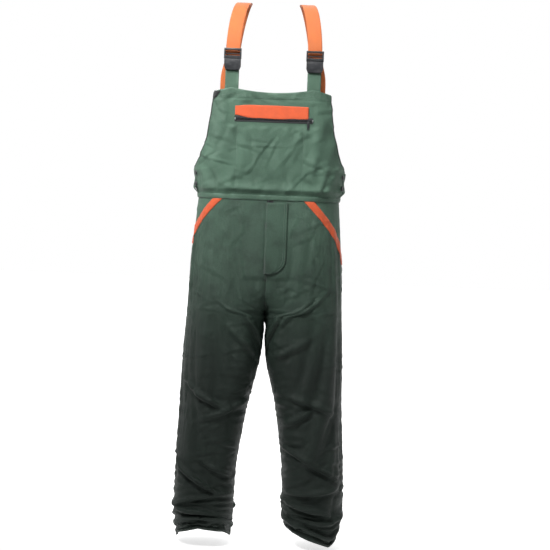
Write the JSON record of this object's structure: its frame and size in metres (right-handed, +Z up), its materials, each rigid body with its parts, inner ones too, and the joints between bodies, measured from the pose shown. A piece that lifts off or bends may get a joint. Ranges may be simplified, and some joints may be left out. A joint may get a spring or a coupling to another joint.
{
  "type": "chainsaw bib-and-brace overalls",
  "caption": "Green protective bib-and-brace overalls with padded legs, orange braces on side-release buckles, a zipped bib pocket with an orange flap, and slanted front pockets.",
  "frame": {"origin": "midway between the undersides of the two brace tops, where the garment hangs", "axes": "+Z up along the garment, -Y out of its front, +X to the wearer's left"},
  "size_m": [0.502, 0.2555, 1.596],
  "materials": {
    "green_twill": "green polyester and cotton twill, matt",
    "dark_green_twill": "darker green twill, matt",
    "orange_cloth": "bright orange plain-weave polyester",
    "orange_webbing": "orange ribbed elastic webbing",
    "black_plastic": "black moulded acetal, semi-gloss",
    "zip_metal": "nickel-plated zip hardware",
    "zip_tape": "black woven zip tape with moulded teeth",
    "lining_cloth": "dark smooth lining",
    "cut_fibre": "off-white long-fibre cut-protection layers",
    "elastic": "white woven elastic"
  },
  "bodies": {
    "root": {"bib_front": "green_twill", "waist_seam_front": "green_twill", "left_leg_front": "green_twill", "right_leg_front": "green_twill", "left_hip_yoke": "green_twill", "right_hip_yoke": "green_twill", "left_hem_cuff": "green_twill", "right_hem_cuff": "green_twill", "left_side_placket": "green_twill", "right_side_placket": "green_twill", "left_strap_tab": "green_twill", "right_strap_tab": "green_twill", "back_panel": "dark_green_twill", "back_brace_patch": "dark_green_twill", "waist_seam_back": "dark_green_twill", "fly_guard": "dark_green_twill", "bib_top_facing": "dark_green_twill", "left_leg_back": "dark_green_twill", "right_leg_back": "dark_green_twill", "left_front_pocket_trim": "orange_cloth", "right_front_pocket_trim": "orange_cloth", "left_brace": "orange_webbing", "right_brace": "orange_webbing", "left_buckle_socket": "black_plastic", "right_buckle_socket": "black_plastic", "left_upper_side_button": "black_plastic", "right_upper_side_button": "black_plastic", "left_lower_side_button": "black_plastic", "right_lower_side_button": "black_plastic", "bib_zip_upper_tape": "zip_tape", "bib_zip_lower_tape": "zip_tape", "fly_zip_left_tape": "zip_tape", "fly_zip_right_tape": "zip_tape", "bib_pocket_bag": "lining_cloth", "left_leg_lining": "lining_cloth", "right_leg_lining": "lining_cloth", "left_pocket_bag": "lining_cloth", "right_pocket_bag": "lining_cloth", "left_cut_pad": "cut_fibre", "right_cut_pad": "cut_fibre", "waist_elastic": "elastic"},
    "left_plug": {"left_buckle_plug": "black_plastic"},
    "right_plug": {"right_buckle_plug": "black_plastic"},
    "left_plug_outer_arm": {"left_buckle_outer_arm": "black_plastic"},
    "left_plug_inner_arm": {"left_buckle_inner_arm": "black_plastic"},
    "right_plug_outer_arm": {"right_buckle_outer_arm": "black_plastic"},
    "right_plug_inner_arm": {"right_buckle_inner_arm": "black_plastic"},
    "bib_flap": {"bib_pocket_flap": "orange_cloth"},
    "bib_slider": {"bib_zip_slider": "zip_metal"},
    "bib_pull": {"bib_zip_pull": "black_plastic"},
    "fly_cover": {"fly_flap": "green_twill"},
    "fly_slider": {"fly_zip_slider": "zip_metal", "fly_zip_pull": "zip_metal"}
  },
  "joints": [
    {"name": "left_buckle_release", "type": "slide", "parent": "root", "child": "left_plug", "axis": [0, 0, 1], "range_m": [0, 0.035]},
    {"name": "left_outer_arm_squeeze", "type": "hinge", "parent": "left_plug", "child": "left_plug_outer_arm", "pos_m": [0.1352, -0.12992, -0.1726], "axis": [0, 1, 0], "range_deg": [0, 7], "stiffness_Nm_per_rad": 0.05},
    {"name": "left_inner_arm_squeeze", "type": "hinge", "parent": "left_plug", "child": "left_plug_inner_arm", "pos_m": [0.1008, -0.12992, -0.1726], "axis": [0, -1, 0], "range_deg": [0, 7], "stiffness_Nm_per_rad": 0.05},
    {"name": "right_buckle_release", "type": "slide", "parent": "root", "child": "right_plug", "axis": [0, 0, 1], "range_m": [0, 0.035]},
    {"name": "right_outer_arm_squeeze", "type": "hinge", "parent": "right_plug", "child": "right_plug_outer_arm", "pos_m": [-0.1352, -0.12992, -0.1726], "axis": [0, -1, 0], "range_deg": [0, 7], "stiffness_Nm_per_rad": 0.05},
    {"name": "right_inner_arm_squeeze", "type": "hinge", "parent": "right_plug", "child": "right_plug_inner_arm", "pos_m": [-0.1008, -0.12992, -0.1726], "axis": [0, 1, 0], "range_deg": [0, 7], "stiffness_Nm_per_rad": 0.05},
    {"name": "bib_flap_lift", "type": "hinge", "parent": "root", "child": "bib_flap", "pos_m": [0, -0.13302, -0.303], "axis": [-1, 0, 0], "range_deg": [0, 100]},
    {"name": "bib_zip_travel", "type": "slide", "parent": "root", "child": "bib_slider", "axis": [-1, 0, 0], "range_m": [0, 0.19]},
    {"name": "bib_zip_pull_swing", "type": "hinge", "parent": "bib_slider", "child": "bib_pull", "pos_m": [0.106, -0.13216, -0.3425], "axis": [-1, 0, 0], "range_deg": [0, 100]},
    {"name": "fly_flap_open", "type": "hinge", "parent": "root", "child": "fly_cover", "pos_m": [0.056, -0.1312, -0.673], "axis": [0, 0, 1], "range_deg": [0, 75], "stiffness_Nm_per_rad": 0.01},
    {"name": "fly_zip_travel", "type": "slide", "parent": "root", "child": "fly_slider", "axis": [0, -0.0339, -0.9994], "range_m": [0, 0.16]}
  ],
  "couplings": [
    {"joint": "left_inner_arm_squeeze", "follows": "left_outer_arm_squeeze", "ratio": 1},
    {"joint": "right_inner_arm_squeeze", "follows": "right_outer_arm_squeeze", "ratio": 1}
  ]
}
